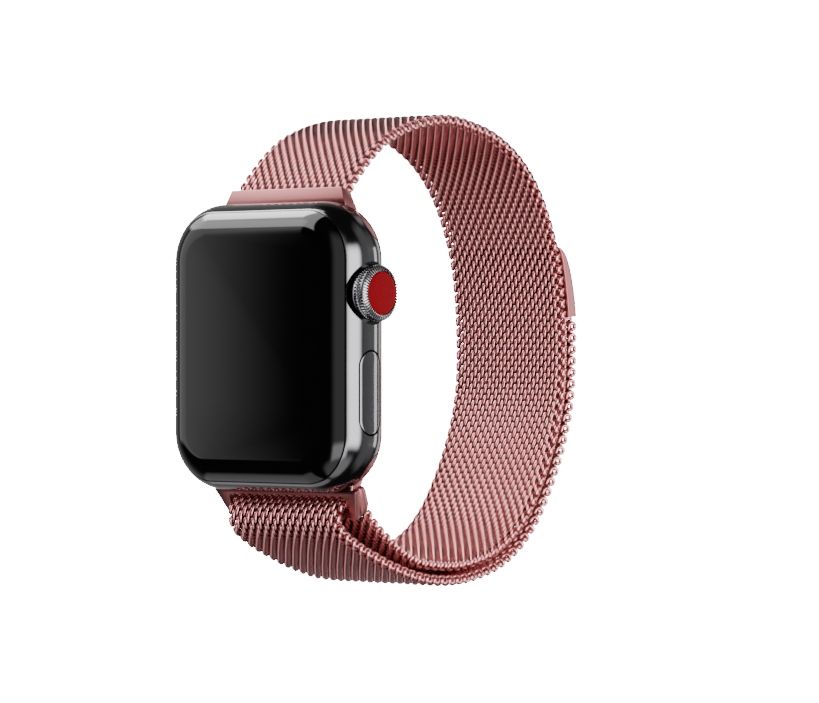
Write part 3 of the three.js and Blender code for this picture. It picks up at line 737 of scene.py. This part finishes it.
def lower_lug():
    """The slotted frame, its round cross bar and the bar in the case's groove."""
    right = [(12.85, 0.2)] + bend((11.6, 3.9), (11.5, 4.9), (10.5, 4.9))
    right += bend((10.5, 2.0), (10.5, 1.0), (9.5, 1.0))
    ring = right + [(-x, s) for x, s in reversed(right)]
    points = []
    for depth in (0.0, 1.15):
        for x, s in ring:
            points.append(tuple(LUG_TOP + Vector((x, 0, 0)) + LUG_DOWN * s + LUG_BACK * depth))
    count = len(ring)
    faces = grid_faces(2, count, wrap_columns=True)
    faces += [tuple(reversed(range(count))), tuple(range(count, 2 * count))]
    lug = make_object("lower_lug_frame", points, faces, ROSE_SOLID)
    face_outward(lug)
    bevelled(lug, 0.22, 4)
    placed(lug, "lower_lug", "rose_metal")
    lug_knuckles()

    neck_profile = [
        (1.5, -17.4), (1.28, -18.65), (1.1, -19.7), (1.5, -20.2), (3.2, -19.2), (3.8, -18.0), (4.1, -16.8),
    ]
    neck = tapered_bar(neck_profile, [11.9] * len(neck_profile), "lower_lug_neck")
    bevelled(neck, 0.38, 5)
    placed(neck, "lower_lug", "rose_metal")

    centre = LUG_TOP + LUG_DOWN * 4.15 + LUG_BACK * 1.2
    points, faces = prism(circle(centre.y, centre.z, 0.65, 32), "x", -10.9, 10.9)
    bar = make_object("lower_lug_cross_bar", points, faces, ROSE_SOLID)
    smooth_by_angle(bar, 35)
    placed(bar, "lower_lug", "rose_metal")
    lug_insert(-1, "lower_lug", "lower_lug_insert", "lower_lug")


# ---------------------------------------------------------------- the strap's line

def spline(points, per_span=40):
    """A dense polyline of the uniform Catmull-Rom curve through points."""
    p = np.array(points, float)
    padded = np.vstack([p[0], p, p[-1]])
    out = []
    for i in range(len(p) - 1):
        a, b, c, d = padded[i:i + 4]
        v0, v1 = (c - a) / 2, (d - b) / 2
        cubic, square = 2 * b - 2 * c + v0 + v1, -3 * b + 3 * c - 2 * v0 - v1
        for t in np.arange(per_span) / per_span:
            out.append(cubic * t ** 3 + square * t ** 2 + v0 * t + b)
    out.append(p[-1])
    return np.array(out)


class Line:
    """A smooth line in (y, z), read by the distance along it."""

    def __init__(self, points):
        self.points = spline(points)
        steps = np.linalg.norm(np.diff(self.points, axis=0), axis=1)
        self.along = np.concatenate([[0], np.cumsum(steps)])
        self.length = self.along[-1]

    def at(self, s):
        return np.column_stack([np.interp(s, self.along, self.points[:, k]) for k in (0, 1)])

    def frame(self, s):
        """Places, directions and outward normals, running straight on past each end."""
        s = np.asarray(s, float)
        inside = np.clip(s, 0.3, self.length - 0.3)
        direction = self.at(inside + 0.25) - self.at(inside - 0.25)
        direction /= np.linalg.norm(direction, axis=1)[:, None]
        held = np.clip(s, 0, self.length)
        place = self.at(held) + direction * (s - held)[:, None]
        return place, direction, np.column_stack([-direction[:, 1], direction[:, 0]])


def outside_point(index):
    """The tail's middle line level with a point of the strap's, one layer farther out."""
    before, here, after = (np.array(STRAP_LINE[i], float) for i in (index - 1, index, index + 1))
    direction = (after - before) / np.linalg.norm(after - before)
    return tuple(here + LAYER_PITCH * np.array([-direction[1], direction[0]]))


def tail_points():
    """The tail's middle line, from the end of the fold to the clasp."""
    outer = [outside_point(i) for i in range(OUTER_FROM, OUTER_TO - 1, -1)]
    return [FOLD_LINE[-1], TAIL_JOIN, *outer, TAIL_END]


FOLDED = STRAP_LINE + FOLD_LINE
WHOLE = Line(FOLDED + tail_points()[1:])
FOLD_END = Line(FOLDED).length
TAIL_LENGTH = WHOLE.length - FOLD_END


# ---------------------------------------------------------------- woven wire

TURN_STEPS = 14  # points along one turn of a coil
WIRE_SIDES = 6
WEAVE_START = -0.5  # along the strap's line, inside the upper lug
WEAVE_END = 0.9  # before the end of the tail's line
LENGTHS = 6  # pieces that the strap's weave is made in


def coil_centres(row):
    """One coil's wire: a flattened spiral across the strap, closed by a loop at each edge.

    Coils are all alike, but every second one is moved sideways by half a pitch. So the strokes of
    neighbouring coils stand side by side like bricks, and only every second coil reaches out to form an
    edge's loops. Returns the wire's middle line, the strap's normals along it, the wire's depth in the strap
    and, from 0 to 1, how far each place belongs to an edge's loop.
    """
    half, end_turn, loop_blend = COIL_TURNS / 2, 0.62, 0.3
    steps = round((half + end_turn) * TURN_STEPS)
    turn = np.arange(-steps, steps + 1) / TURN_STEPS
    inner = np.clip(turn, -half, half)
    steepened = inner + STEEPNESS / (2 * math.pi) * np.sin(4 * math.pi * inner)
    across = (steepened + (0.25 if row % 2 else -0.25)) * COIL_PITCH
    c, s = np.cos(2 * math.pi * turn), -np.sin(2 * math.pi * turn)
    in_loop = np.clip((np.abs(turn) - half + loop_blend) / loop_blend, 0, 1)
    reach = COIL_REACH + (EDGE_REACH - COIL_REACH) * in_loop
    along = WEAVE_START + row * ROW_PITCH + reach * np.sign(c) * np.abs(c) ** (0.8 + 0.2 * in_loop)
    half_depth = COIL_DEPTH + (EDGE_DEPTH - COIL_DEPTH) * in_loop
    depth = half_depth * np.sign(s) * np.abs(s) ** (0.62 + 0.3 * in_loop)
    place, _, normal = WHOLE.frame(along)
    place = place + normal * depth[:, None]
    centres = np.column_stack([across, place[:, 0], place[:, 1]])
    normals = np.column_stack([np.zeros(len(turn)), normal])
    return centres, normals, depth, in_loop


def wire_mesh(centres, normals, depths, in_loop):
    """A tube round each coil's middle line, and how far out of the weave each of its points stands."""
    rows, count, _ = centres.shape
    tangent = np.gradient(centres, axis=1)
    tangent /= np.linalg.norm(tangent, axis=2)[:, :, None]
    side = np.cross(tangent, np.array([1.0, 0, 0]))
    side /= np.linalg.norm(side, axis=2)[:, :, None]
    up = np.cross(tangent, side)
    angles = np.arange(WIRE_SIDES) * 2 * math.pi / WIRE_SIDES
    end_taper, loop_standing = 0.55, 0.95
    radius = WIRE / 2 * (1 + LOOP_SWELL * in_loop[0])
    radius[[0, -1]] *= end_taper
    ring = side[:, :, None, :] * np.cos(angles)[None, None, :, None]
    ring = ring + up[:, :, None, :] * np.sin(angles)[None, None, :, None]
    points = centres[:, :, None, :] + ring * radius[None, :, None, None]
    height = depths[:, :, None] + np.sum(ring * normals[:, :, None, :], axis=3) * WIRE / 2
    # How far a point stands out of the weave sets the painted shade in the wire's material; edge loops count
    # as standing out, so they stay unshaded.
    standing = np.maximum(np.abs(height) / (COIL_DEPTH + WIRE / 2), loop_standing * in_loop[:, :, None])
    per_coil = count * WIRE_SIDES
    faces = np.array(grid_faces(count, WIRE_SIDES, wrap_columns=True))
    all_faces = (faces[None] + (np.arange(rows) * per_coil)[:, None, None]).reshape(-1, 4).tolist()
    for r in range(rows):
        first = r * per_coil
        last = first + per_coil - WIRE_SIDES
        all_faces.append(list(range(first, first + WIRE_SIDES))[::-1])
        all_faces.append(list(range(last, last + WIRE_SIDES)))
    return points.reshape(-1, 3), all_faces, standing.reshape(-1)


def woven_length(name, first_row, last_row):
    """The piece of strap made of the interlocked coils from one row up to another."""
    coils = [coil_centres(row) for row in range(first_row, last_row)]
    points, faces, standing = wire_mesh(*(np.array(part) for part in zip(*coils)))
    piece = make_object(name, points, faces, ROSE_WIRE)
    piece.data.attributes.new("standing", "FLOAT", "POINT").data.foreach_set("value", standing)
    return piece


def frame_point(s):
    """A point of the strap's line in the frame's metres."""
    place, _, _ = WHOLE.frame(np.array([s]))
    return (0.0, (place[0, 0] - WRIST_Y) * MM, place[0, 1] * MM)


def row_at(s):
    """How many rows of coils fit before a distance along the strap's line."""
    return int((s - WEAVE_START) / ROW_PITCH)


def woven_strap():
    """The strap in several lengths, then the tail in two."""
    lift, split = FOLD_END, FOLD_END + TAIL_LENGTH * TAIL_SPLIT
    lift_bend, split_bend = 3.0, 4.0
    lift_row = row_at(lift - lift_bend)
    mid_row = row_at((lift + split) / 2)
    rows = math.ceil((WHOLE.length - WEAVE_START - WEAVE_END) / ROW_PITCH) + 1
    edges = [round(i * lift_row / LENGTHS) for i in range(LENGTHS + 1)]
    for i in range(LENGTHS):
        piece = woven_length(f"woven_strap_{i + 1}", edges[i], edges[i + 1])
        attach(piece, "strap")
        if i == 0:
            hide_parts("strap")
    lower = woven_length("woven_tail_lower", lift_row, mid_row)
    start, end = frame_point(lift - lift_bend), frame_point(lift + lift_bend)
    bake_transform(lower)
    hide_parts("strap_tail_lower")
    upper = woven_length("woven_tail_upper", mid_row, rows)
    start, end = frame_point(split - split_bend), frame_point(split + split_bend)
    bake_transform(upper)
    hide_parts("strap_tail_upper")


# ---------------------------------------------------------------- clasp plate

CLASP_FROM_Z, CLASP_TO_Z = 4.3, 14.3


def strap_distance_at(z):
    """How far along the strap its back reaches a height."""
    on_back = (WHOLE.points[:, 0] > 40) & (WHOLE.along < FOLD_END / 1.5)
    heights, distances = WHOLE.points[on_back, 1], WHOLE.along[on_back]
    order = np.argsort(heights)
    return float(np.interp(z, heights[order], distances[order]))


def rounded_section(half, low, high, inner, outer, steps=5):
    """A closed (x, t) section with one corner radius on its inner side and another on its outer side."""
    points = []
    corners = [(1, 1, outer), (-1, 1, outer), (-1, -1, inner), (1, -1, inner)]
    for quarter, (side_x, side_t, radius) in enumerate(corners):
        middle_x = side_x * (half - radius)
        middle_t = high - radius if side_t > 0 else low + radius
        for i in range(steps + 1):
            angle = (quarter + i / steps) * math.pi / 2
            points.append((middle_x + radius * math.cos(angle), middle_t + radius * math.sin(angle)))
    return points


def clasp_plate():
    """A polished plate that lies on the strap's outer face and thins out in a round nose at its tip."""
    first, last = strap_distance_at(CLASP_FROM_Z), strap_distance_at(CLASP_TO_Z)
    shares = 1 - (1 - np.linspace(0, 1, 34)) ** 1.6
    rows = []
    for share in shares:
        nose = math.sqrt(max(0.0, 1 - share ** 3.2))
        low = 0.98 - 0.2 * share
        thickness = max(0.06, (1.9 - 0.12 * share) * nose)
        outer = min(0.12 + 0.2 * share, thickness * 0.45)
        place, _, normal = WHOLE.frame(np.array([first + (last - first) * share]))
        half = STRAP_HALF + 0.1 - 2.5 * max(0.0, share - 0.9)
        for x, t in rounded_section(half, low, low + thickness, min(0.18, thickness * 0.48), outer):
            rows.append((x, place[0, 0] + normal[0, 0] * t, place[0, 1] + normal[0, 1] * t))
    count = len(rows) // len(shares)
    faces = grid_faces(len(shares), count, wrap_columns=True)
    faces.append(tuple(range(count)))
    last_row = (len(shares) - 1) * count
    faces.append(tuple(range(last_row, last_row + count)))
    plate = make_object("clasp_plate_polished", rows, faces, ROSE_SOLID)
    face_outward(plate)
    smooth_by_angle(plate, 40)
    placed(plate, "tail_upper", "rose_metal", "clasp_plate", "clasp_magnet")


# ---------------------------------------------------------------- back of the case

def turned_y(profile, centre, count, name, material, *cutters):
    """(y, radius) pairs turned about an axis along Y, with holes cut by any cutters."""
    angles = np.arange(count) * 2 * math.pi / count
    rows = []
    for y, radius in profile:
        x, z = centre[0] + radius * np.cos(angles), centre[1] + radius * np.sin(angles)
        rows.append(np.column_stack([x, np.full(count, y), z]))
    faces = grid_faces(len(profile), count, wrap_columns=True)
    made = make_object(name, np.vstack(rows), faces, material)
    weld(made)
    face_outward(made)
    boolean(made, "DIFFERENCE", cutters)
    smooth_by_angle(made, 40)
    return made


def sensor_places():
    """The middles of the four lenses, on a circle."""
    angles = [(i + 0.5) * math.pi / 2 for i in range(4)]
    return [(LENS_CIRCLE * math.cos(a), LENS_CIRCLE * math.sin(a)) for a in angles]


def dome_height(radius):
    """The back crystal's surface: flat in the middle, then a quarter ellipse out to the edge."""
    share = np.clip((radius - CRYSTAL_FLAT) / (CRYSTAL_RADIUS - CRYSTAL_FLAT), 0, 1)
    return CASE_BACK + CRYSTAL_RISE * math.sqrt(1 - share ** 2)


def back_crystal():
    """The crystal dome with its four lenses."""
    sweep, foot, top = CRYSTAL_RADIUS - CRYSTAL_FLAT, 4.0, CASE_BACK + CRYSTAL_RISE
    radii = [CRYSTAL_RADIUS - sweep * (1 - math.cos(math.pi / 2 * i / 20)) for i in range(21)]
    profile = [(foot, AXIS), (foot, CRYSTAL_RADIUS - 0.1), (CASE_BACK, CRYSTAL_RADIUS)]
    profile += [(dome_height(r), r) for r in radii] + [(top, AXIS)]
    holes = [prism(circle(x, z, 1.62, 48), "y", -1, FAR) for x, z in sensor_places()]
    dome = turned_y(profile, (0, 0), 128, "back_crystal_dome", CRYSTAL, *holes)
    placed(dome, "case", "back_crystal", "back_crystal")
    for i, (x, z) in enumerate(sensor_places()):
        top = dome_height(math.hypot(x, z)) - 0.08
        rim = [(foot, AXIS), (foot, 1.5), (top - 0.2, 1.56), (top - 0.08, 1.52), (top, 1.35)]
        rim += [(top + 0.06, 0.7), (top + 0.08, AXIS)]
        lens = turned_y(rim, (x, z), 48, f"sensor_lens_{i + 1}_domed", LENS)
        placed(lens, "case", "lens_crystal", f"sensor_lens_{i + 1}")


def back_cover():
    """The ceramic plate round the crystal."""
    ring = outline(12.05, 10.55, 4.05)
    points, faces = prism(ring, "y", 4.0, 4.86)
    cover = make_object("back_cover_ceramic", points, faces, CERAMIC)
    face_outward(cover)
    boolean(cover, "DIFFERENCE", [prism(circle(0, 0, CRYSTAL_RADIUS + 0.12, 128), "y", -1, FAR)])
    bevelled(cover, 0.12)
    placed(cover, "case", "back_ceramic", "back_cover")


def release_buttons():
    """The two pills on the back that free the lugs."""
    for name, side in (("upper", 1), ("lower", -1)):
        ring = stadium(0, side * RELEASE_Z, 1.6, 6.1, along_second=False)
        points, faces = prism(ring, "y", 3.0, 4.78)
        cap = make_object(f"{name}_release_button_pill", points, faces, BLACK_STEEL)
        face_outward(cap)
        bevelled(cap, 0.14)
        placed(cap, f"{name}_release", "black_steel", f"{name}_release_button")


# ---------------------------------------------------------------- light and camera

BACKDROP = 30.0  # brightness of the white that only the camera sees
BASE_LIGHT = 0.03  # brightness of the studio between its patches of light
TOWARD_CAMERA = Vector((0.632, -0.775, 0.0))
# Where light comes from: azimuth and elevation of a patch's middle, its half width and half height,
# how soft its edges are, all in degrees, and its brightness.
PATCHES = [
    (-152, 49, 34, 25.5, 2, 4.5),  # the key, up and to the left of the face
    (-171, 52, 15, 12, 4, 18.0),  # its brightest part, farther back
    (-6, 0, 21, 22, 10, 10.0),  # a strip on the crown side
    (-52, 0, 24, 40, 12, 0.8),  # its dim surround
    (45, 0, 20, 50, 10, 0.45),
    (88, 5, 8, 34, 6, 2.0),  # a strip behind the crown side
    (-150, 17, 17.6, 23, 2.0, 1.5),  # a dim panel to the left of the face
    (150, 0, 35, 45, 20, 0.45),  # its surround, far left
    (-165, -63, 38, 22, 4, 0.9),  # light thrown back by the table, left
    (-45, -63, 50, 22, 10, 1.1),  # and right
    (-50, -28, 25, 13, 6, 3.4),  # a low card beside the camera, for the strap's fold
]


def world_light():
    """A white backdrop for the camera; for everything else a dark studio with soft patches of light."""
    world = bpy.data.worlds.new("studio")
    bpy.context.scene.world = world
    world.use_nodes = True
    nodes, links = world.node_tree.nodes, world.node_tree.links

    def math_node(operation, *values):
        node = nodes.new("ShaderNodeMath")
        node.operation = operation
        for socket, value in zip(node.inputs, values):
            if isinstance(value, (int, float)):
                socket.default_value = value
            else:
                links.new(value, socket)
        return node.outputs[0]

    place = nodes.new("ShaderNodeTexCoord")
    split = nodes.new("ShaderNodeSeparateXYZ")
    links.new(place.outputs["Generated"], split.inputs[0])
    azimuth = math_node("ARCTAN2", split.outputs["Y"], split.outputs["X"])
    elevation = math_node("ARCSINE", split.outputs["Z"])

    def within(angle, half, soft):
        """1 within half a range of zero, falling smoothly to 0 past its ends."""
        gap = math_node("ABSOLUTE", angle)
        node = nodes.new("ShaderNodeMapRange")
        node.interpolation_type = "SMOOTHSTEP"
        node.inputs["From Min"].default_value = math.radians(half + soft)
        node.inputs["From Max"].default_value = math.radians(max(half - soft, 0))
        links.new(gap, node.inputs["Value"])
        return node.outputs["Result"]

    total = BASE_LIGHT
    for middle_az, middle_el, half_az, half_el, soft, brightness in PATCHES:
        turned = math_node("SUBTRACT", azimuth, math.radians(middle_az))
        wrapped = math_node("WRAP", turned, math.pi, -math.pi)
        raised = math_node("SUBTRACT", elevation, math.radians(middle_el))
        inside = math_node("MULTIPLY", within(wrapped, half_az, soft), within(raised, half_el, soft))
        total = math_node("MULTIPLY_ADD", inside, brightness, total)
    background = nodes["Background"]
    background.inputs["Color"].default_value = (1, 1, 1, 1)
    links.new(total, background.inputs["Strength"])
    backdrop = nodes.new("ShaderNodeBackground")
    backdrop.inputs["Color"].default_value = (1, 1, 1, 1)
    backdrop.inputs["Strength"].default_value = BACKDROP
    mix = nodes.new("ShaderNodeMixShader")
    path = nodes.new("ShaderNodeLightPath")
    links.new(path.outputs["Is Camera Ray"], mix.inputs[0])
    links.new(background.outputs[0], mix.inputs[1])
    links.new(backdrop.outputs[0], mix.inputs[2])
    links.new(mix.outputs[0], nodes["World Output"].inputs["Surface"])


def strap_light():
    """A soft light behind the crown side, which the strap's edge mirrors and the case does not."""
    lamp = bpy.data.lights.new("strap_light", "AREA")
    lamp.shape, lamp.size, lamp.size_y = "RECTANGLE", 0.045, 0.13
    lamp.energy = 0.08
    made = bpy.data.objects.new("strap_light", lamp)
    bpy.context.collection.objects.link(made)
    edge = Vector((STRAP_HALF, 24, 0)) * MM
    mirrored = Vector((TOWARD_CAMERA.x, -TOWARD_CAMERA.y, 0))
    made.location = edge + mirrored * 0.15
    made.rotation_euler = (made.location - edge).to_track_quat("Z", "Y").to_euler()
    made.visible_camera = False


def camera():
    """A long lens to the right of the watch, level with the middle of the case."""
    data = bpy.data.cameras.new("camera")
    data.lens, data.sensor_width = 161.1, 36.0
    data.clip_start, data.clip_end = 0.01, 20
    made = bpy.data.objects.new("camera", data)
    bpy.context.collection.objects.link(made)
    case_middle = Vector((0, -WRIST_Y * MM, 0))
    made.location = case_middle + Vector((0.3298, -0.3763, -0.0006))
    made.rotation_euler = (-TOWARD_CAMERA).to_track_quat("-Z", "Y").to_euler()
    bpy.context.scene.camera = made


camera()
finish_cad_nodes()
case_shell()
cover_glass()
crown_knob()
crown_cap()
side_button()
upper_lug()
lower_lug()
woven_strap()
clasp_plate()
back_crystal()
back_cover()
release_buttons()
world_light()
strap_light()
